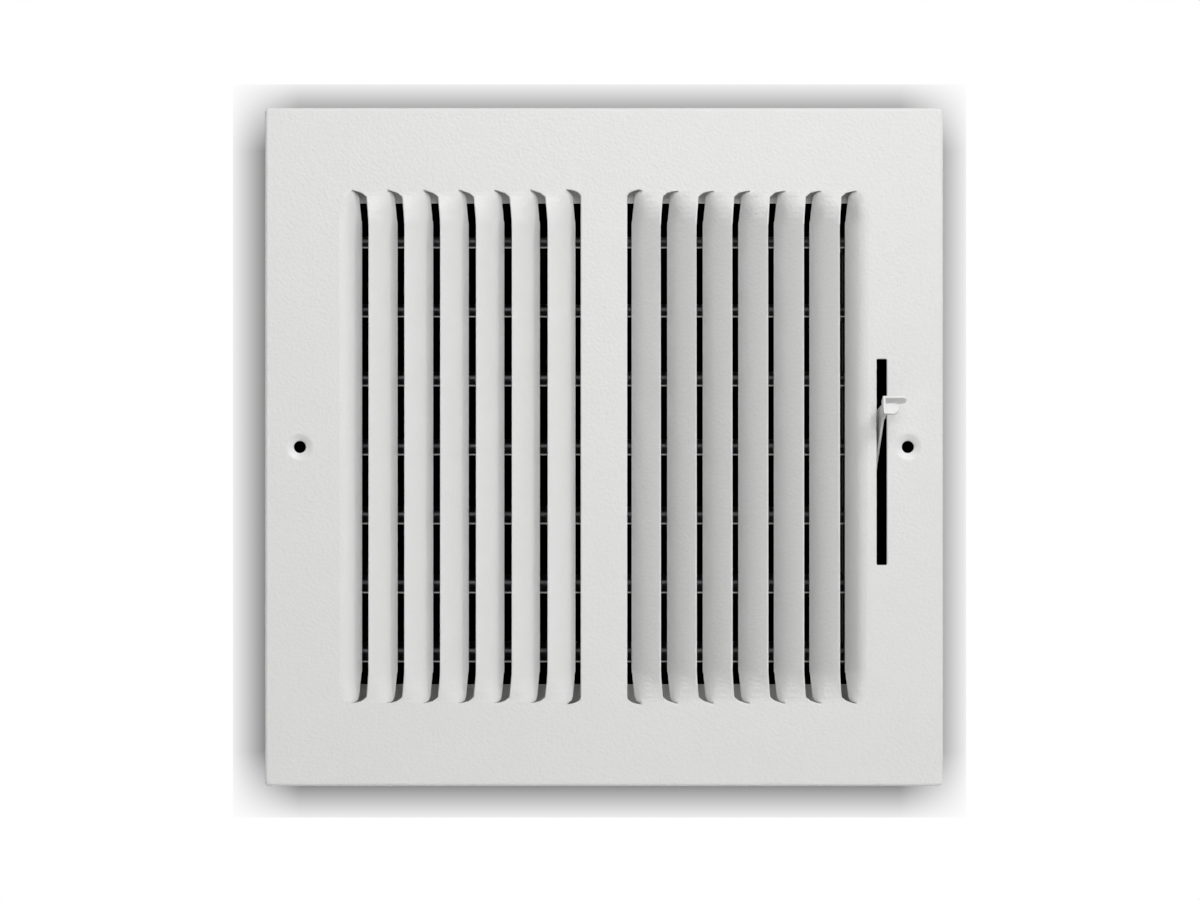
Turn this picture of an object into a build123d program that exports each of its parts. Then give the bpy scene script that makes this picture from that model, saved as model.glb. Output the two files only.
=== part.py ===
from build123d import *
import os
from math import cos, floor, pi, radians, sin

# Two-way stamped sidewall register with a shutter damper and a side lever, in millimetres.
# The origin is the centre of the face in the plane of the wall: +X right, +Z up, +Y into the wall.

os.makedirs("parts", exist_ok=True)

# Face plate
face_width = 247.65
face_height = 247.65
face_sheet = 0.6
rim_depth = 6.35
rim_bend_radius = 1.2
rim_corner_radius = 1.5
screw_margin = 12.7
screw_hole_radius = 2.2
dimple_radius = 5.2
dimple_depth = 1.4
slot_offset = 2.975
slot_width = 3.7
slot_length = 75.2
slot_drop = 5.5
slot_corner_radius = 0.5

# Louvre fins: setbacks run across a fin from its cut line, depths run back from the face
centre_strip_width = 17.0
fin_pitch = 13.05
bank_end_margin = 4.425
half_fin_width = 8.9
half_fin_lap = 0.4
half_fin_sink = 0.05
fin_sheet = 0.5
lip_setback = 1.1
lip_rise = 2.4
bend_setback = 7.4
bend_depth = 1.5
flap_setback = 11.25
flap_depth = 5.9
fin_end_run = 13.0
mouth_corner_height = 2.7
flap_corner_radius = 2.2
flap_corner_share = 0.75
flap_root_share = 0.12
mouth_steps = 2
twist_steps = 5

# Damper frame
frame_margin = 25.4
frame_sheet = 0.8
frame_rear_space = 2.0
frame_bend_radius = 0.4
rail_flange = 9.0
stop_lip_height = 8.1
top_lip_depth = 7.5
top_lip_length = 184.0
side_front_gap = 0.4
tab_length = 12.0
tab_width = 14.0
tab_rear_space = 5.0
rail_end_gap = 0.3

# Shutter blades
blade_count = 7
blade_end_space = 22.225
blade_overlap = 0.6
blade_sheet = 0.5
blade_tilt = 12.4
blade_end_gap = 0.6
bead_radius = 1.9
blade_front_space = 9.0
trunnion_clearance = 0.06
trunnion_overhang = 0.8

# Link between the blades
ear_inset = 7.3
ear_width = 4.6
tongue_setback = 8.2
tongue_drop = 4.7
tongue_width = 2.4
tongue_clearance = 0.06
hook_height = 1.8
link_gap = 0.3
link_width = 5.0
link_sheet = 1.0
link_notch_clearance = 0.8

# Lever
lever_offset = 2.475
lever_sheet = 0.9
lever_slant = 24.0
lever_hub_radius = 11.5
lever_neck_radius = 2.2
lever_neck_out = 10.5
paddle_length = 5.0
paddle_half_width = 3.6
tab_shelf_length = 7.8
tab_curl_length = 4.6
tab_curl_height = 4.2
tab_corner_radius = 1.8
tenon_size = 2.2
stake_size = 3.2
stake_height = 0.5
washer_radius = 5.0
lever_gap = 0.1

# Places worked out from the sizes above
face_front = -rim_depth
face_back = face_front + face_sheet
screw_x = face_width / 2 - screw_margin
side_outer = face_width / 2 - frame_margin
side_inner = side_outer - frame_sheet
rail_outer = face_height / 2 - frame_margin
rail_inner = rail_outer - frame_sheet
bank_inner = centre_strip_width / 2
fins_per_bank = floor((side_inner - bank_inner - half_fin_width) / fin_pitch)
bank_outer = bank_inner + fins_per_bank * fin_pitch + half_fin_width
bank_top = rail_outer - bank_end_margin
gap_mouth = fin_pitch - bend_setback
blade_pitch = 2 * (rail_outer - blade_end_space) / (blade_count - 1)
blade_chord = blade_pitch + blade_overlap
pivot_depth = blade_front_space + blade_chord / 2
pivot_y = face_front + pivot_depth
frame_back = pivot_y + blade_chord / 2 + frame_rear_space
slot_x = side_outer + slot_offset
lever_x = side_outer + lever_offset
lever_neck_reach = pivot_depth + lever_neck_out
lever_reach = lever_neck_reach + paddle_length
blade_half_length = side_inner - blade_end_gap
blade_heights = [blade_pitch * ((blade_count - 1) / 2 - step) for step in range(blade_count)]
drive_blade = blade_count // 2
ear_x = blade_half_length - ear_inset
link_x = ear_x + blade_sheet + link_gap
hook_x = link_x + link_sheet + link_gap
trunnion_hole_radius = bead_radius + trunnion_clearance
lever_inner = lever_x - lever_sheet / 2
tilt = radians(blade_tilt)
tongue_y = pivot_y + tongue_setback * cos(tilt) + tongue_drop * sin(tilt)
tongue_z = tongue_setback * sin(tilt) - tongue_drop * cos(tilt)


def strip_outline(front, thickness):
    """Closed outline of a bent strip of sheet, from the corners of its front side in order."""
    corners = [Vector(*point) for point in front]
    steps = [after - before for before, after in zip(corners, corners[1:])]
    backs = [Vector(-step.Y, step.X).normalized() * thickness for step in steps]
    rear = [corners[0] + backs[0]]
    for corner, before, after in zip(corners[1:], backs, backs[1:]):
        share = thickness**2 / (thickness**2 + before.dot(after))
        rear.append(corner + (before + after) * share)
    rear.append(corners[-1] + backs[-1])
    Polyline(*corners, *reversed(rear), close=True)


def fin_corners(end_distance, half):
    """Front corners of a fin's section, measured from its cut line, at a distance from the fin's end."""
    form = (1 - cos(pi * min(end_distance / fin_end_run, 1))) / 2
    mouth = sin(pi / 2 * min(end_distance / mouth_corner_height, 1))
    corner = sin(pi / 2 * min(end_distance / flap_corner_radius, 1))
    flap = flap_root_share + (1 - flap_root_share) * (
        flap_corner_share * corner + (1 - flap_corner_share) * form
    )
    bend = (bend_setback, face_front + bend_depth * form)
    edge = (
        bend[0] + (flap_setback - bend_setback) * flap,
        bend[1] + (flap_depth - bend_depth) * flap,
    )
    if half:
        root = fin_pitch - half_fin_width
        return [(root - half_fin_lap, face_front + half_fin_sink), bend, edge]
    lip = (lip_setback * form - gap_mouth * (1 - mouth), face_front - lip_rise * form)
    return [lip, bend, edge]


def fin_stations():
    """Distances from a fin's end at which its section is drawn."""
    mouth = [mouth_corner_height * step / mouth_steps for step in range(mouth_steps + 1)]
    twist = (fin_end_run - mouth_corner_height) / twist_steps
    return mouth + [mouth_corner_height + twist * (step + 1) for step in range(twist_steps)]


def make_fin(half):
    """One fin of the left bank with its cut line at x = 0: straight run, then both ends easing to flat."""
    with BuildPart() as fin:
        with BuildSketch():
            with BuildLine():
                strip_outline(fin_corners(fin_end_run, half), fin_sheet)
            make_face()
        extrude(amount=bank_top - fin_end_run)
        for distance in reversed(fin_stations()):
            with BuildSketch(Plane.XY.offset(bank_top - distance)):
                with BuildLine():
                    strip_outline(fin_corners(distance, half), fin_sheet)
                make_face()
        loft(ruled=True)
        mirror(about=Plane.XY)
    return fin.part


# Both banks of fins
full_fin = make_fin(half=False)
half_fin = make_fin(half=True)
with BuildPart() as louvres:
    with Locations([(-bank_inner - fin_pitch * (step + 1), 0, 0) for step in range(fins_per_bank)]):
        add(full_fin)
    with Locations((-bank_inner - fin_pitch * (fins_per_bank + 1), 0, 0)):
        add(half_fin)
    mirror(about=Plane.YZ)

# Face plate: dished tray, windows for the two banks, fins, lever slot and dished screw holes
with BuildPart() as face_plate:
    with BuildSketch(Plane.XZ):
        RectangleRounded(face_width, face_height, rim_corner_radius)
    extrude(amount=rim_depth)
    fillet(faces().sort_by(Axis.Y)[0].edges(), radius=rim_bend_radius)
    with BuildSketch(Plane.XZ):
        RectangleRounded(
            face_width - 2 * face_sheet,
            face_height - 2 * face_sheet,
            rim_corner_radius - face_sheet,
        )
    extrude(amount=rim_depth - face_sheet, mode=Mode.SUBTRACT)
    tray_floor = faces().filter_by(Axis.Y).sort_by(Axis.Y)[1]
    fillet(tray_floor.edges(), radius=rim_bend_radius - face_sheet)
    with BuildSketch(Plane.XZ.offset(rim_depth)):
        with BuildLine():
            Polyline(
                (bank_inner, 0),
                (bank_inner, bank_top - mouth_corner_height),
            )
            EllipticalCenterArc(
                (bank_inner + gap_mouth, bank_top - mouth_corner_height),
                gap_mouth,
                mouth_corner_height,
                start_angle=90,
                arc_size=90,
            )
            Polyline(
                (bank_inner + gap_mouth, bank_top),
                (bank_outer, bank_top),
                (bank_outer, 0),
                (bank_inner, 0),
            )
        make_face()
        mirror(about=Plane.XZ)
        mirror(about=Plane.YZ)
        with Locations((slot_x, -slot_drop)):
            RectangleRounded(slot_width, slot_length, slot_corner_radius)
        with Locations((-screw_x, 0), (screw_x, 0)):
            Circle(dimple_radius)
    extrude(amount=-face_sheet, mode=Mode.SUBTRACT)
    for side in (-1, 1):
        centre = side * screw_x
        with BuildSketch():
            with BuildLine():
                Polyline(
                    (centre + screw_hole_radius, face_front + dimple_depth),
                    (centre + dimple_radius, face_front),
                    (centre + dimple_radius, face_back),
                    (centre + screw_hole_radius, face_back + dimple_depth),
                    close=True,
                )
            make_face()
        revolve(axis=Axis((centre, 0, 0), (0, 1, 0)))
    add(louvres.part)
face_plate.part.label = "face_plate"
export_step(face_plate.part, "parts/face_plate.step")

# Top rail: flange on the back of the face, web, and a stop lip lanced out of the web
with BuildPart() as top_rail:
    with BuildSketch(Plane.YZ):
        with BuildLine():
            Polyline(
                (face_back, rail_inner),
                (frame_back, rail_inner),
                (frame_back, rail_outer),
                (face_back + frame_sheet, rail_outer),
                (face_back + frame_sheet, rail_outer + rail_flange),
                (face_back, rail_outer + rail_flange),
                close=True,
            )
        make_face()
        bend = vertices().sort_by_distance((face_back, rail_inner))[0]
        fillet(bend, radius=frame_bend_radius + frame_sheet)
        bend = vertices().sort_by_distance((face_back + frame_sheet, rail_outer))[0]
        fillet(bend, radius=frame_bend_radius)
    extrude(amount=side_outer, both=True)
    lip_y = face_front + top_lip_depth
    with BuildSketch(Plane.XY.offset(rail_inner)):
        with Locations((0, lip_y + frame_sheet + stop_lip_height / 2)):
            Rectangle(top_lip_length, stop_lip_height)
    extrude(amount=frame_sheet, mode=Mode.SUBTRACT)
    with BuildSketch(Plane.XY.offset(rail_outer)):
        with Locations((0, lip_y + frame_sheet / 2)):
            Rectangle(top_lip_length, frame_sheet)
    extrude(amount=-frame_sheet - stop_lip_height)
top_rail.part.label = "top_rail"
export_step(top_rail.part, "parts/top_rail.step")

# Bottom rail: flange on the back of the face, web, and the rear edge folded up as a stop
with BuildPart() as bottom_rail:
    with BuildSketch(Plane.YZ):
        with BuildLine():
            Polyline(
                (face_back, -rail_outer - rail_flange),
                (face_back + frame_sheet, -rail_outer - rail_flange),
                (face_back + frame_sheet, -rail_outer),
                (frame_back, -rail_outer),
                (frame_back, stop_lip_height - rail_inner),
                (frame_back - frame_sheet, stop_lip_height - rail_inner),
                (frame_back - frame_sheet, -rail_inner),
                (face_back, -rail_inner),
                close=True,
            )
        make_face()
        for outer_bend in ((face_back, -rail_inner), (frame_back, -rail_outer)):
            fillet(vertices().sort_by_distance(outer_bend)[0], radius=frame_bend_radius + frame_sheet)
        for inner_bend in ((face_back + frame_sheet, -rail_outer), (frame_back - frame_sheet, -rail_inner)):
            fillet(vertices().sort_by_distance(inner_bend)[0], radius=frame_bend_radius)
    extrude(amount=side_inner - rail_end_gap, both=True)
bottom_rail.part.label = "bottom_rail"
export_step(bottom_rail.part, "parts/bottom_rail.step")

# Side plates: trunnion holes in the web, and a tab folded in at each end, spot-welded to the rail
with BuildPart() as right_side_plate:
    with BuildSketch(Plane.YZ.offset(side_inner)):
        with Locations(((face_back + side_front_gap + frame_back) / 2, 0)):
            Rectangle(frame_back - face_back - side_front_gap, 2 * rail_inner)
        with Locations([(pivot_y, height) for height in blade_heights]):
            Circle(trunnion_hole_radius, mode=Mode.SUBTRACT)
    extrude(amount=frame_sheet)
    with BuildSketch(Plane.XY.offset(rail_inner)):
        with Locations((side_outer, frame_back - tab_rear_space)):
            Rectangle(tab_length + frame_sheet, tab_width, align=(Align.MAX, Align.MAX))
    extrude(amount=-frame_sheet)
    mirror(about=Plane.XY)
right_side_plate.part.label = "right_side_plate"
export_step(right_side_plate.part, "parts/right_side_plate.step")

with BuildPart() as left_side_plate:
    mirror(right_side_plate.part, about=Plane.YZ)
left_side_plate.part.label = "left_side_plate"
export_step(left_side_plate.part, "parts/left_side_plate.step")

# Shutter blades, top to bottom: bead along the pivot line that ends in round trunnions, and at the right a
# notch for the link bar with an ear bent down beside it, whose tongue hooks through the bar
for number, height in enumerate(blade_heights):
    blade_plane = Plane(
        origin=(0, pivot_y, height),
        x_dir=(0, cos(tilt), sin(tilt)),
        z_dir=(1, 0, 0),
    )
    with BuildPart() as shutter_blade:
        with BuildSketch(blade_plane):
            Rectangle(blade_chord, blade_sheet)
            Circle(bead_radius)
            Circle(bead_radius - blade_sheet, mode=Mode.SUBTRACT)
            with Locations((0, -blade_sheet / 2)):
                Rectangle(
                    2 * bead_radius,
                    bead_radius,
                    align=(Align.CENTER, Align.MAX),
                    mode=Mode.SUBTRACT,
                )
        extrude(amount=blade_half_length, both=True)
        with BuildSketch(blade_plane.offset(ear_x + blade_sheet)):
            notch_start = tongue_setback - link_width / 2 - link_notch_clearance
            with Locations((notch_start, 0)):
                Rectangle(blade_chord, bead_radius, align=(Align.MIN, Align.CENTER))
        extrude(amount=ear_inset, mode=Mode.SUBTRACT)
        with BuildSketch(blade_plane.offset(ear_x)):
            with Locations((tongue_setback, 0)):
                Rectangle(ear_width, tongue_drop + blade_sheet / 2, align=(Align.CENTER, Align.MAX))
        extrude(amount=blade_sheet)
        with BuildSketch(blade_plane.offset(ear_x)):
            with Locations((tongue_setback, -tongue_drop)):
                Rectangle(tongue_width, blade_sheet)
        extrude(amount=hook_x + blade_sheet - ear_x)
        with BuildSketch(blade_plane.offset(hook_x)):
            with Locations((tongue_setback, blade_sheet / 2 - tongue_drop)):
                Rectangle(tongue_width, blade_sheet + hook_height, align=(Align.CENTER, Align.MAX))
        extrude(amount=blade_sheet)
        for side in (-1, 1):
            with BuildSketch(blade_plane.offset(side * blade_half_length)):
                Circle(bead_radius)
            extrude(amount=side * (blade_end_gap + frame_sheet + trunnion_overhang))
        if number == drive_blade:
            with BuildSketch(blade_plane.offset(side_inner)):
                Circle(bead_radius)
            extrude(amount=lever_inner - side_inner)
            with BuildSketch(blade_plane.offset(lever_inner)):
                Rectangle(tenon_size, tenon_size)
            extrude(amount=lever_sheet)
            with BuildSketch(blade_plane.offset(lever_inner + lever_sheet)):
                Rectangle(stake_size, stake_size)
            extrude(amount=stake_height)
    shutter_blade.part.label = f"shutter_blade_{number + 1}"
    export_step(shutter_blade.part, f"parts/shutter_blade_{number + 1}.step")

# Link bar: upright strip outboard of the ears, with a square hole in which each blade's tongue turns
with BuildPart() as link_bar:
    hole_size = 2 * (Vector(tongue_width / 2, blade_sheet / 2).length + tongue_clearance)
    with BuildSketch(Plane.YZ.offset(link_x)):
        with Locations((tongue_y, tongue_z)):
            Rectangle(link_width, (blade_count - 1) * blade_pitch + link_width)
        with Locations([(tongue_y, height + tongue_z) for height in blade_heights]):
            Rectangle(hole_size, hole_size, mode=Mode.SUBTRACT)
    extrude(amount=link_sheet)
link_bar.part.label = "link_bar"
export_step(link_bar.part, "parts/link_bar.step")

# Friction washer: fibre ring squeezed between the right side plate and the lever
with BuildPart() as friction_washer:
    with BuildSketch(Plane.YZ.offset(side_outer)):
        with Locations((pivot_y, 0)):
            Circle(washer_radius)
            Circle(trunnion_hole_radius, mode=Mode.SUBTRACT)
    extrude(amount=lever_inner - lever_gap - side_outer)
friction_washer.part.label = "friction_washer"
export_step(friction_washer.part, "parts/friction_washer.step")

# Lever: hub staked on the drive blade's tenon, tapering arm, paddle with a shelf and a curl bent right
slant = radians(lever_slant)
arm_plane = Plane(
    origin=(lever_inner, pivot_y, 0),
    x_dir=(0, -cos(slant), sin(slant)),
    z_dir=(1, 0, 0),
)
with BuildPart() as lever:
    with BuildSketch(arm_plane):
        Circle(lever_hub_radius)
        with Locations((lever_neck_reach, 0)):
            Circle(lever_neck_radius)
        make_hull()
        with Locations((lever_reach, 0)):
            Rectangle(
                paddle_length,
                2 * paddle_half_width,
                align=(Align.MAX, Align.CENTER),
            )
        with Locations(Location((0, 0), blade_tilt + lever_slant)):
            Rectangle(tenon_size, tenon_size, mode=Mode.SUBTRACT)
    extrude(amount=lever_sheet)
    shelf_plane = Plane(
        origin=arm_plane.from_local_coords((lever_neck_reach, -paddle_half_width, 0)),
        x_dir=arm_plane.x_dir,
        z_dir=arm_plane.y_dir,
    )
    with BuildSketch(shelf_plane):
        with Locations((0, 0)):
            Rectangle(
                paddle_length,
                lever_sheet + tab_shelf_length,
                align=(Align.MIN, Align.MAX),
            )
        fillet(vertices().sort_by(Axis.Y)[:2], radius=tab_corner_radius)
    extrude(amount=lever_sheet)
    curl_plane = Plane(
        origin=arm_plane.from_local_coords((lever_reach, paddle_half_width, 0)),
        x_dir=arm_plane.z_dir,
        z_dir=-arm_plane.x_dir,
    )
    with BuildSketch(curl_plane):
        Rectangle(
            lever_sheet + tab_curl_length,
            tab_curl_height,
            align=(Align.MIN, Align.MAX),
        )
        fillet(vertices().sort_by(Axis.X)[-2:], radius=tab_corner_radius)
    extrude(amount=lever_sheet)
lever.part.label = "lever"
export_step(lever.part, "parts/lever.step")
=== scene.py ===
"""White stamped-steel sidewall register on a white wall: finishes, wall, light and camera."""
from math import radians

import bpy
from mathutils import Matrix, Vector


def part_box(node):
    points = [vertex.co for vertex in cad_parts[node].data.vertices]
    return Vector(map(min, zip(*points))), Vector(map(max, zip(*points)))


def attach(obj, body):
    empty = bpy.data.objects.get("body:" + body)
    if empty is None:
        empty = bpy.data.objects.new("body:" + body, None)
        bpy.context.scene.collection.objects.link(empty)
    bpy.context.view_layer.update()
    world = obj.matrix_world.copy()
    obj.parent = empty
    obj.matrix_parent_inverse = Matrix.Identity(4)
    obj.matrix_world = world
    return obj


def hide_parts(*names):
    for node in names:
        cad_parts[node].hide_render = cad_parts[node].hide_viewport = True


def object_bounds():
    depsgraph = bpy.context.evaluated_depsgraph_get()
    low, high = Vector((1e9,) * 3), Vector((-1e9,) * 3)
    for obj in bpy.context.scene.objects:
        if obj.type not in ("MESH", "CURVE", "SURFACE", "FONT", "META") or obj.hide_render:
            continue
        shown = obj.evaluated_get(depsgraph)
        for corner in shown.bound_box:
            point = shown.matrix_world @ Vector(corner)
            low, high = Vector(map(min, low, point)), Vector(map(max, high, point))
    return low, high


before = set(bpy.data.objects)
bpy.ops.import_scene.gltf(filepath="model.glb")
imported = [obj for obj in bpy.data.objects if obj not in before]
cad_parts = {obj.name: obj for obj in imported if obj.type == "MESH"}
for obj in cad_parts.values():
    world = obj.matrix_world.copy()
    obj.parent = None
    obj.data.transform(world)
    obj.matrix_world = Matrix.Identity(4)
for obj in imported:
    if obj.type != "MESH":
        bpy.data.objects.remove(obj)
cad_low, cad_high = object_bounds()

# Sizes taken from the frame
face_low, face_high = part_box("face_plate")
FACE_HALF_WIDTH = (face_high.x - face_low.x) / 2
FACE_HALF_HEIGHT = (face_high.z - face_low.z) / 2
BLADE_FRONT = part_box("shutter_blade_1")[0].y

# Face sheet: its flat front, and where the outer half fins leave it
FACE_FRONT = -0.00635
HALF_FIN_ROOT = 0.0957

# Camera: where the photograph was taken from, and where the face lies in its 1200 by 900 frame
IMAGE_WIDTH = 1200
IMAGE_HEIGHT = 900
FACE_CENTRE_PX = (604.0, 447.0)
FACE_WIDTH_PX = 678.5
CAMERA_DISTANCE = 1.06
CAMERA_LEFT = 0.033
SENSOR_WIDTH = 36.0

# Enamel: scale of its orange peel and mottling, then the colour and skin of each painted finish
PEEL_SCALE = 900.0
PEEL_HEIGHT = 0.0002
MOTTLE_SCALE = 60.0
GLOSS_SPREAD = 0.08
NOISE_MEAN = 0.5
FACE_WHITE = (0.82, 0.82, 0.815)
FACE_ROUGHNESS = 0.42
FACE_MOTTLE = 0.03
FACE_PEEL = 0.7
DAMPER_WHITE = (0.74, 0.74, 0.735)
DAMPER_ROUGHNESS = 0.5
DAMPER_MOTTLE = 0.06
DAMPER_PEEL = 0.25

# Plated strip: its spangle, the depth of the bright cut-edge band, and the colours of each plating
SPANGLE_SCALE = 420.0
SPANGLE_GLOSS = 0.08
CUT_EDGE_HIGHLIGHT_DEPTH = 0.0003
# Blade zinc: darkened far below real zinc as painted shade; the cut edge is a real bare cut, made bright as
# a painted highlight
SHADED_ZINC_DARK = (0.055, 0.056, 0.058)
SHADED_ZINC_LIGHT = (0.085, 0.086, 0.089)
CUT_EDGE_HIGHLIGHT = (0.42, 0.42, 0.425)
ZINC_ROUGHNESS = 0.42
# Link bar: zinc made near black as painted shade of the unlit duct
LINK_SHADE_DARK = (0.01, 0.01, 0.0105)
LINK_SHADE_LIGHT = (0.02, 0.02, 0.021)
DULL_ZINC_ROUGHNESS = 0.7

# Fibre of the friction washer
FIBRE_SCALE = 1600.0
FIBRE_DARK = (0.10, 0.05, 0.035)
FIBRE_LIGHT = (0.22, 0.12, 0.08)
FIBRE_ROUGHNESS = 0.8

# Shown copies: what counts as a sharp turn, as flat and as facing the front, and the steps of an eased edge
SHARP_TURN = radians(60)
FLAT_TURN = radians(0.3)
FLAT_FRONT = -0.99999
FRONT_FACING = -0.5
EASING_STEPS = 3

# For each copy: how near corners are joined, how far back its edges are eased, and by how much
FACE_JOIN = 0.00005
FACE_EASED_TO = -0.0005
FACE_EASING = 0.0004
LEVER_JOIN = 0.00001
LEVER_EASED_TO = 0.05
LEVER_EASING = 0.0002

# Outer half fins: the step at their root, and the strip that rolls them off the sheet in its place
ROOT_NEAR = 0.00002
STEP_START = 0.000005
STEP_DEPTH = 0.0004
ROLL_LIFT = 0.00001
ROLL_REACH = 0.003
ROLL_SINK = 0.00003

# Wall and floor
WALL_SIZE = 3.0
RIM_LAP = 0.0008
WALL_COLOUR = (0.8, 0.8, 0.8)
WALL_ROUGHNESS = 0.9
FLOOR_DROP = 0.45
FLOOR_COLOUR = (0.8, 0.8, 0.79)
FLOOR_ROUGHNESS = 0.85

# Painted shade of the duct: black sheets inside the back of the frame, and beside it behind the slot and
# the screw holes, where the unlit duct would be
REAR_ZONE = 0.004
DARK_INSET = 0.0003
DARK_SHORT = 0.0005
SLOT_DARK_INSET = 0.0005
SLOT_DARK_REACH = 0.02
SLOT_DARK_HALF_HEIGHT = 0.07

# Painted soft shadow of the face on the wall, not cast by the lamps: thrown left and down, full inside the
# face, cut off outside it
SHADOW_LEFT = 0.00146
SHADOW_DOWN = 0.00146
SHADOW_INSIDE = 0.0136
SHADOW_OUTSIDE = 0.01077
SHADOW_EDGE = 0.105
SHADOW_DEPTH = 1.38

# Light: name, place, size and power of each lamp, all aimed at the middle of the register
LAMPS = (
    ("key_lamp", (1.6, -1.7, 2.1), 0.5, 22.0),
    ("front_lamp", (0.24, -1.5, 0.8), 1.0, 17.9),
    ("rear_lamp_1", (-0.75, 0.85, 0.06), 0.5, 2.0),
    ("rear_lamp_2", (0.75, 0.85, 0.06), 0.5, 2.0),
)

# Room round the lamps: its level in front and behind, and the directions between which it changes
FILL_LEVEL = 0.06
BACK_LEVEL = 0.02
FILL_DIRECTION = -0.2
BACK_DIRECTION = 0.1


# Selecting
def deselect_all():
    bpy.ops.object.select_all(action="DESELECT")


def select_parts(parts, kind, wanted):
    """Leaves edit mode on, with only the faces or edges that pass the test selected."""
    bpy.ops.object.mode_set(mode="EDIT")
    bpy.ops.mesh.select_mode(type=kind)
    bpy.ops.mesh.select_all(action="DESELECT")
    bpy.ops.object.mode_set(mode="OBJECT")
    for part in parts:
        part.select = wanted(part)
    bpy.ops.object.mode_set(mode="EDIT")


def select_faces(piece, wanted):
    select_parts(piece.data.polygons, "FACE", wanted)


def select_edges(piece, wanted):
    select_parts(piece.data.edges, "EDGE", wanted)


# Shader nodes
def new_material(name):
    material = bpy.data.materials.new(name)
    material.use_nodes = True
    nodes = material.node_tree.nodes
    return material, nodes, material.node_tree.links, nodes["Principled BSDF"]


def place_texture(nodes, links, kind, **inputs):
    """A texture laid on the piece by its Object coordinates."""
    place = nodes.new("ShaderNodeTexCoord")
    texture = nodes.new(kind)
    for name, value in inputs.items():
        texture.inputs[name].default_value = value
    links.new(place.outputs["Object"], texture.inputs["Vector"])
    return texture


def axes_of(nodes, links, coordinates):
    """Outputs X, Y and Z of the named texture coordinates."""
    place = nodes.new("ShaderNodeTexCoord")
    axes = nodes.new("ShaderNodeSeparateXYZ")
    links.new(place.outputs[coordinates], axes.inputs["Vector"])
    return axes.outputs


def math_of(nodes, links, operation, *values):
    """Output of a Math node whose inputs are numbers or other outputs."""
    node = nodes.new("ShaderNodeMath")
    node.operation = operation
    for socket, value in zip(node.inputs, values):
        if isinstance(value, bpy.types.NodeSocket):
            links.new(value, socket)
        else:
            socket.default_value = value
    return node.outputs[0]


def ramp_of(nodes, links, value, start, end, first=0.0, last=1.0):
    """Runs from first to last as the value goes from start to end."""
    node = nodes.new("ShaderNodeMapRange")
    node.inputs["From Min"].default_value = start
    node.inputs["From Max"].default_value = end
    node.inputs["To Min"].default_value = first
    node.inputs["To Max"].default_value = last
    links.new(value, node.inputs["Value"])
    return node.outputs["Result"]


def tone_of(nodes, links, factor, dark, light):
    """Colour between dark and light."""
    node = nodes.new("ShaderNodeValToRGB")
    node.color_ramp.elements[0].color = (*dark, 1.0)
    node.color_ramp.elements[1].color = (*light, 1.0)
    links.new(factor, node.inputs["Fac"])
    return node.outputs["Color"]


def mix_shaders(nodes, links, factor, first, second):
    node = nodes.new("ShaderNodeMixShader")
    links.new(factor, node.inputs["Fac"])
    links.new(first, node.inputs[1])
    links.new(second, node.inputs[2])
    return node.outputs["Shader"]


# Finishes of the register
def paint_skin_group():
    """Sprayed enamel: a fine orange peel, faint mottling of the colour and slightly uneven gloss."""
    group = bpy.data.node_groups.new("paint_skin", "ShaderNodeTree")
    sockets = group.interface
    values = {
        "Peel Scale": PEEL_SCALE,
        "Mottle Scale": MOTTLE_SCALE,
        "Mottle": FACE_MOTTLE,
        "Gloss Spread": GLOSS_SPREAD,
        "Base Roughness": FACE_ROUGHNESS,
    }
    for name, value in values.items():
        socket = sockets.new_socket(name, in_out="INPUT", socket_type="NodeSocketFloat")
        socket.default_value = value
    sockets.new_socket("Paint", in_out="INPUT", socket_type="NodeSocketColor")
    sockets.new_socket("Color", in_out="OUTPUT", socket_type="NodeSocketColor")
    sockets.new_socket("Roughness", in_out="OUTPUT", socket_type="NodeSocketFloat")
    sockets.new_socket("Height", in_out="OUTPUT", socket_type="NodeSocketFloat")
    nodes, links = group.nodes, group.links
    given = nodes.new("NodeGroupInput").outputs
    result = nodes.new("NodeGroupOutput").inputs
    peel = place_texture(nodes, links, "ShaderNodeTexNoise", Detail=2.0, Roughness=0.5)
    links.new(given["Peel Scale"], peel.inputs["Scale"])
    links.new(peel.outputs["Fac"], result["Height"])
    mottle = place_texture(nodes, links, "ShaderNodeTexNoise", Detail=4.0, Roughness=0.6)
    links.new(given["Mottle Scale"], mottle.inputs["Scale"])
    uneven = math_of(nodes, links, "SUBTRACT", mottle.outputs["Fac"], NOISE_MEAN)
    tint = nodes.new("ShaderNodeVectorMath")
    tint.operation = "SCALE"
    links.new(given["Paint"], tint.inputs[0])
    links.new(math_of(nodes, links, "MULTIPLY_ADD", uneven, given["Mottle"], 1.0), tint.inputs["Scale"])
    links.new(tint.outputs[0], result["Color"])
    gloss = math_of(nodes, links, "MULTIPLY_ADD", uneven, given["Gloss Spread"], given["Base Roughness"])
    links.new(gloss, result["Roughness"])
    return group


PAINT_SKIN = paint_skin_group()


def painted_steel(name, paint, roughness, mottle, peel):
    """Enamel on sheet steel."""
    material, nodes, links, shader = new_material(name)
    skin = nodes.new("ShaderNodeGroup")
    skin.node_tree = PAINT_SKIN
    skin.inputs["Paint"].default_value = (*paint, 1.0)
    skin.inputs["Base Roughness"].default_value = roughness
    skin.inputs["Mottle"].default_value = mottle
    links.new(skin.outputs["Color"], shader.inputs["Base Color"])
    links.new(skin.outputs["Roughness"], shader.inputs["Roughness"])
    bump = nodes.new("ShaderNodeBump")
    bump.inputs["Strength"].default_value = peel
    bump.inputs["Distance"].default_value = PEEL_HEIGHT
    links.new(skin.outputs["Height"], bump.inputs["Height"])
    links.new(bump.outputs["Normal"], shader.inputs["Normal"])
    return material


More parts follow.
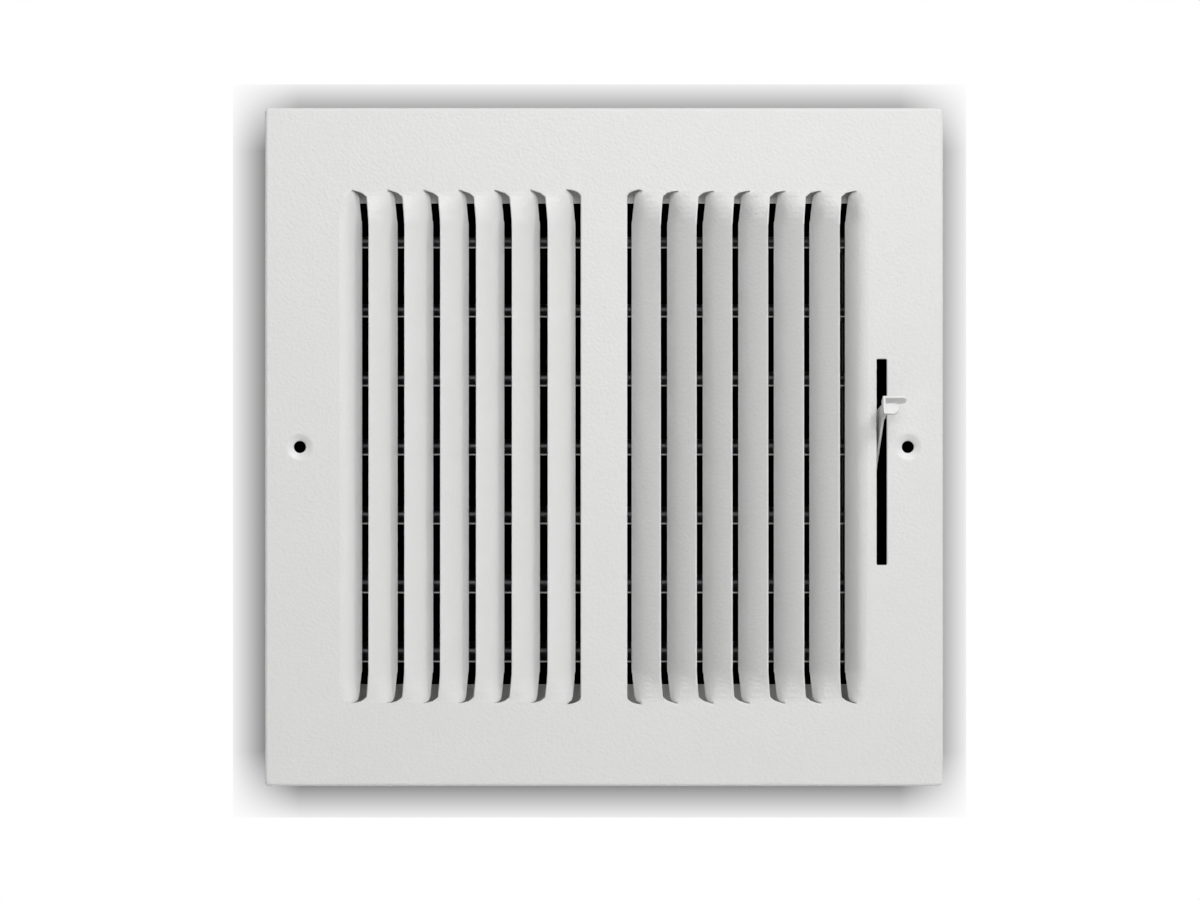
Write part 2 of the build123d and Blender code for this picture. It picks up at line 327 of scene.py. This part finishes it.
def spangled_steel(name, dark, light, edge_highlight, roughness):
    """Plated strip: faint spangle in the colour and the gloss, and a cut front edge made bright as a
    painted highlight.
    """
    material, nodes, links, shader = new_material(name)
    shader.inputs["Metallic"].default_value = 1.0
    spangle = place_texture(nodes, links, "ShaderNodeTexVoronoi", Scale=SPANGLE_SCALE)
    depth = axes_of(nodes, links, "Object")["Y"]
    plating_end = BLADE_FRONT + 2 * CUT_EDGE_HIGHLIGHT_DEPTH
    plating_with_edge_highlight = nodes.new("ShaderNodeMix")
    plating_with_edge_highlight.data_type = "RGBA"
    plating_with_edge_highlight.inputs["B"].default_value = (*edge_highlight, 1.0)
    links.new(
        ramp_of(nodes, links, depth, plating_end, plating_end - CUT_EDGE_HIGHLIGHT_DEPTH),
        plating_with_edge_highlight.inputs["Factor"],
    )
    links.new(tone_of(nodes, links, spangle.outputs["Color"], dark, light), plating_with_edge_highlight.inputs["A"])
    links.new(plating_with_edge_highlight.outputs["Result"], shader.inputs["Base Color"])
    glossy, dull = roughness - SPANGLE_GLOSS, roughness + SPANGLE_GLOSS
    gloss = ramp_of(nodes, links, spangle.outputs["Distance"], 0.0, 1.0, glossy, dull)
    links.new(gloss, shader.inputs["Roughness"])
    return material


def pressed_fibre():
    """Vulcanised fibre of the friction washer: dull, with short fibres in it."""
    material, nodes, links, shader = new_material("pressed_fibre")
    fibres = place_texture(nodes, links, "ShaderNodeTexNoise", Scale=FIBRE_SCALE, Detail=5.0)
    tone = tone_of(nodes, links, fibres.outputs["Fac"], FIBRE_DARK, FIBRE_LIGHT)
    links.new(tone, shader.inputs["Base Color"])
    shader.inputs["Roughness"].default_value = FIBRE_ROUGHNESS
    return material


def finish_pieces():
    """Gives every piece of the frame its finish: damper enamel, unless it has one of its own."""
    face_paint = painted_steel("face_enamel", FACE_WHITE, FACE_ROUGHNESS, FACE_MOTTLE, FACE_PEEL)
    damper_paint = painted_steel(
        "damper_enamel", DAMPER_WHITE, DAMPER_ROUGHNESS, DAMPER_MOTTLE, DAMPER_PEEL
    )
    # blades: zinc darkened as painted shade, with a painted highlight on the cut front edge
    zinc = spangled_steel("zinc_steel", SHADED_ZINC_DARK, SHADED_ZINC_LIGHT, CUT_EDGE_HIGHLIGHT, ZINC_ROUGHNESS)
    finishes = {
        # link bar near black: painted shade
        "link_bar": spangled_steel(
            "link_zinc_painted_shade", LINK_SHADE_DARK, LINK_SHADE_LIGHT, LINK_SHADE_LIGHT, DULL_ZINC_ROUGHNESS
        ),
        "friction_washer": pressed_fibre(),
        "face_plate": face_paint,
        "lever": face_paint,
    }
    for name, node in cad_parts.items():
        node.data.materials.clear()
        if name.startswith("shutter_blade"):
            node.data.materials.append(zinc)
        else:
            node.data.materials.append(finishes.get(name, damper_paint))


# Copies of the face and the lever, with eased edges
def front_edges(mesh, eased_to):
    """Edges where the front of a sheet turns into its cut edge, from the front back to eased_to."""
    beside = {}
    for face in mesh.polygons:
        for key in face.edge_keys:
            beside.setdefault(key, []).append(face)
    found = set()
    for edge in mesh.edges:
        faces = beside.get(edge.key, [])
        if len(faces) == 2 and max(mesh.vertices[corner].co.y for corner in edge.vertices) < eased_to:
            turn = faces[0].normal.angle(faces[1].normal, 0.0)
            facing = min(face.normal.y for face in faces)
            if turn > SHARP_TURN and facing < FRONT_FACING:
                found.add(edge.index)
    return found


def draw_in_half_fins(piece):
    """Runs the outer half fins into the flat sheet without a step, so that they roll off it softly."""
    spots = piece.data.vertices
    step_end = FACE_FRONT + STEP_DEPTH
    for side in (-1, 1):
        root = side * HALF_FIN_ROOT

        def on_root(corner):
            return abs(spots[corner].co.x - root) < ROOT_NEAR

        def in_step(corner):
            return FACE_FRONT + STEP_START < spots[corner].co.y < step_end

        select_faces(
            piece,
            lambda face: face.center.y < step_end and all(on_root(corner) for corner in face.vertices),
        )
        bpy.ops.mesh.delete(type="FACE")
        select_edges(
            piece,
            lambda edge: all(on_root(corner) and in_step(corner) for corner in edge.vertices),
        )
        bpy.ops.transform.resize(value=(1, 0, 1), center_override=(0, FACE_FRONT - ROLL_LIFT, 0))
        bpy.ops.mesh.extrude_edges_move(
            TRANSFORM_OT_translate={"value": (side * ROLL_REACH, ROLL_SINK, 0)}
        )
        bpy.ops.object.mode_set(mode="OBJECT")


def shown_copy(name, body, join, eased_to, easing):
    """Stands in for a CAD node: triangles joined, cut edges eased and bends shaded round."""
    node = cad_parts[name]
    piece = bpy.data.objects.new(f"{name}_shown", node.data.copy())
    bpy.context.scene.collection.objects.link(piece)
    deselect_all()
    piece.select_set(True)
    bpy.context.view_layer.objects.active = piece
    bpy.ops.object.mode_set(mode="EDIT")
    bpy.ops.mesh.select_all(action="SELECT")
    bpy.ops.mesh.remove_doubles(threshold=join)
    bpy.ops.object.mode_set(mode="OBJECT")
    if name == "face_plate":
        draw_in_half_fins(piece)
    select_faces(piece, lambda face: face.normal.y < FLAT_FRONT)
    bpy.ops.mesh.dissolve_limited(angle_limit=FLAT_TURN)
    bpy.ops.object.mode_set(mode="OBJECT")
    eased = front_edges(piece.data, eased_to)
    select_edges(piece, lambda edge: edge.index in eased)
    bpy.ops.mesh.bevel(offset=easing, segments=EASING_STEPS, affect="EDGES", clamp_overlap=False)
    bpy.ops.object.mode_set(mode="OBJECT")
    bpy.ops.object.shade_smooth_by_angle(angle=SHARP_TURN)
    bpy.ops.object.modifier_add(type="WEIGHTED_NORMAL")
    piece.modifiers[0].keep_sharp = True
    bpy.ops.object.modifier_apply(modifier=piece.modifiers[0].name)
    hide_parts(name)
    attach(piece, body)


# Finishes of the stage
def one_sided(nodes, links, surface):
    """Shows a surface from the front only, so that the stage doesn't hide the register from behind."""
    facing = nodes.new("ShaderNodeNewGeometry")
    clear = nodes.new("ShaderNodeBsdfTransparent")
    shown = mix_shaders(nodes, links, facing.outputs["Backfacing"], surface, clear.outputs["BSDF"])
    links.new(shown, nodes["Material Output"].inputs["Surface"])


def sight_rays(nodes, links):
    """One for rays from the camera, from gloss and through glass; nought for those that carry light."""
    path = nodes.new("ShaderNodeLightPath").outputs
    mirrored = math_of(nodes, links, "MAXIMUM", path["Is Camera Ray"], path["Is Glossy Ray"])
    return math_of(nodes, links, "MAXIMUM", mirrored, path["Is Transmission Ray"])


def shadow_along(nodes, links, distance, half, middle):
    """Painted shadow along one axis: full well inside the face, SHADOW_EDGE at its cut-off and none past
    it.
    """
    far = math_of(nodes, links, "ABSOLUTE", math_of(nodes, links, "SUBTRACT", distance, middle))
    cut_off = half + SHADOW_OUTSIDE
    depth = ramp_of(nodes, links, far, half - SHADOW_INSIDE, cut_off, 1.0, SHADOW_EDGE)
    return math_of(nodes, links, "MULTIPLY", depth, math_of(nodes, links, "LESS_THAN", far, cut_off))


def wall_finish():
    """White wall with a painted soft shadow of the face on it, shown to camera and gloss as emission."""
    material, nodes, links, shader = new_material("stage_wall")
    shader.inputs["Base Color"].default_value = (*WALL_COLOUR, 1.0)
    shader.inputs["Roughness"].default_value = WALL_ROUGHNESS
    axes = axes_of(nodes, links, "Object")
    across = shadow_along(nodes, links, axes["X"], FACE_HALF_WIDTH, -SHADOW_LEFT)
    upright = shadow_along(nodes, links, axes["Z"], FACE_HALF_HEIGHT, -SHADOW_DOWN)
    shadow = math_of(nodes, links, "MULTIPLY", across, upright)
    # painted shade: the wall's emission is dimmed where the painted shadow lies
    painted_shadow_level = math_of(nodes, links, "MULTIPLY_ADD", shadow, -SHADOW_DEPTH, 1.0)
    painted_shadow_level.node.use_clamp = True
    glow = nodes.new("ShaderNodeEmission")
    links.new(painted_shadow_level, glow.inputs["Strength"])
    seen = sight_rays(nodes, links)
    wall = mix_shaders(nodes, links, seen, shader.outputs["BSDF"], glow.outputs["Emission"])
    one_sided(nodes, links, wall)
    return material


def duct_painted_shade_finish():
    """Painted shade: black to sight rays where the unlit inside of the duct shows through the gaps; it
    neither blocks nor gives light.
    """
    material, nodes, links, shader = new_material("stage_painted_shade")
    shader.inputs["Base Color"].default_value = (0.0, 0.0, 0.0, 1.0)
    shader.inputs["Specular IOR Level"].default_value = 0.0
    clear = nodes.new("ShaderNodeBsdfTransparent")
    seen = sight_rays(nodes, links)
    one_sided(nodes, links, mix_shaders(nodes, links, seen, clear.outputs["BSDF"], shader.outputs["BSDF"]))
    return material


def floor_finish():
    material, _, _, shader = new_material("stage_floor")
    shader.inputs["Base Color"].default_value = (*FLOOR_COLOUR, 1.0)
    shader.inputs["Roughness"].default_value = FLOOR_ROUGHNESS
    return material


# Stage, light and camera
def make_wall():
    """Wall in the plane of the rim's back edge, cut out behind the face."""
    deselect_all()
    bpy.ops.mesh.primitive_plane_add(size=WALL_SIZE, rotation=(radians(90), 0, 0))
    wall = bpy.context.object
    wall.name = "stage_wall"
    bpy.ops.object.transform_apply(rotation=True)
    bpy.ops.object.mode_set(mode="EDIT")
    bpy.ops.mesh.select_all(action="SELECT")
    bpy.ops.mesh.inset(thickness=WALL_SIZE / 2 - FACE_HALF_WIDTH + RIM_LAP)
    bpy.ops.mesh.delete(type="FACE")
    bpy.ops.object.mode_set(mode="OBJECT")
    wall.data.materials.append(wall_finish())


def rear_reach(name, axis):
    """How far from the middle a piece of the frame reaches at its back, along x (0) or z (2)."""
    spots = [vertex.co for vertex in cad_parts[name].data.vertices]
    return max(abs(spot[axis]) for spot in spots if spot.y > cad_high[1] - REAR_ZONE)


def painted_shade_panel(name, inset, half_width, half_height, finish):
    """Upright panel of painted shade that stands inset from the back of the frame, facing the room."""
    deselect_all()
    bpy.ops.mesh.primitive_plane_add(
        size=2,
        location=(0, cad_high[1] - inset, 0),
        rotation=(radians(90), 0, 0),
    )
    panel = bpy.context.object
    panel.name = name
    panel.scale = (half_width, half_height, 1)
    bpy.ops.object.transform_apply(location=True, rotation=True, scale=True)
    panel.data.materials.append(finish)


def make_duct_painted_shade():
    """Painted shade of the unlit duct across the back of the frame, and beside it behind the slot and the
    holes.
    """
    finish = duct_painted_shade_finish()
    half_width = rear_reach("right_side_plate", 0) - DARK_SHORT
    half_height = min(rear_reach(rail, 2) for rail in ("top_rail", "bottom_rail")) - DARK_SHORT
    painted_shade_panel("stage_painted_shade_behind_frame", DARK_INSET, half_width, half_height, finish)
    slot_half_width = FACE_HALF_WIDTH + SLOT_DARK_REACH
    painted_shade_panel("stage_painted_shade_behind_slot", SLOT_DARK_INSET, slot_half_width, SLOT_DARK_HALF_HEIGHT, finish)


def make_floor():
    deselect_all()
    bpy.ops.mesh.primitive_plane_add(
        size=WALL_SIZE,
        location=(0, -WALL_SIZE / 2, cad_low[2] - FLOOR_DROP),
    )
    floor = bpy.context.object
    floor.name = "stage_floor"
    bpy.ops.object.transform_apply(location=True)
    floor.data.materials.append(floor_finish())


def make_world():
    """Even soft light from the room side, little from behind, and a white background."""
    world = bpy.data.worlds.new("room")
    bpy.context.scene.world = world
    world.use_nodes = True
    nodes, links = world.node_tree.nodes, world.node_tree.links
    direction = axes_of(nodes, links, "Generated")["Y"]
    level = ramp_of(nodes, links, direction, FILL_DIRECTION, BACK_DIRECTION, FILL_LEVEL, BACK_LEVEL)
    strength = nodes.new("ShaderNodeMix")
    links.new(sight_rays(nodes, links), strength.inputs["Factor"])
    links.new(level, strength.inputs["A"])
    strength.inputs["B"].default_value = 1.0
    background = nodes["Background"]
    background.inputs["Color"].default_value = (1.0, 1.0, 1.0, 1.0)
    links.new(strength.outputs["Result"], background.inputs["Strength"])


def area_lamp(name, place, size, power):
    """Square lamp, aimed at the middle of the register."""
    deselect_all()
    bpy.ops.object.light_add(type="AREA", location=place)
    lamp = bpy.context.object
    lamp.name = name
    lamp.data.shape = "SQUARE"
    lamp.data.size = size
    lamp.data.energy = power
    lamp.rotation_euler = (-Vector(place)).to_track_quat("-Z", "Y").to_euler()


def make_camera():
    """Looks straight at the wall from the left of the middle; the lens shift puts the face in its place."""
    pixels_per_metre = FACE_WIDTH_PX / (2 * FACE_HALF_WIDTH)
    view_width = IMAGE_WIDTH / pixels_per_metre
    axis_px = (FACE_CENTRE_PX[0] - CAMERA_LEFT * pixels_per_metre, FACE_CENTRE_PX[1])
    deselect_all()
    bpy.ops.object.camera_add(
        location=(-CAMERA_LEFT, FACE_FRONT - CAMERA_DISTANCE, 0),
        rotation=(radians(90), 0, 0),
    )
    camera = bpy.context.object
    camera.data.sensor_width = SENSOR_WIDTH
    camera.data.lens = SENSOR_WIDTH * CAMERA_DISTANCE / view_width
    camera.data.shift_x = (IMAGE_WIDTH / 2 - axis_px[0]) / IMAGE_WIDTH
    camera.data.shift_y = (axis_px[1] - IMAGE_HEIGHT / 2) / IMAGE_WIDTH
    bpy.context.scene.camera = camera


finish_pieces()
shown_copy("face_plate", "frame", FACE_JOIN, FACE_EASED_TO, FACE_EASING)
shown_copy("lever", "drive", LEVER_JOIN, LEVER_EASED_TO, LEVER_EASING)
make_wall()
make_duct_painted_shade()
make_floor()
make_world()
for name, place, size, power in LAMPS:
    area_lamp(name, place, size, power)
make_camera()
bpy.context.scene.view_settings.view_transform = "Standard"
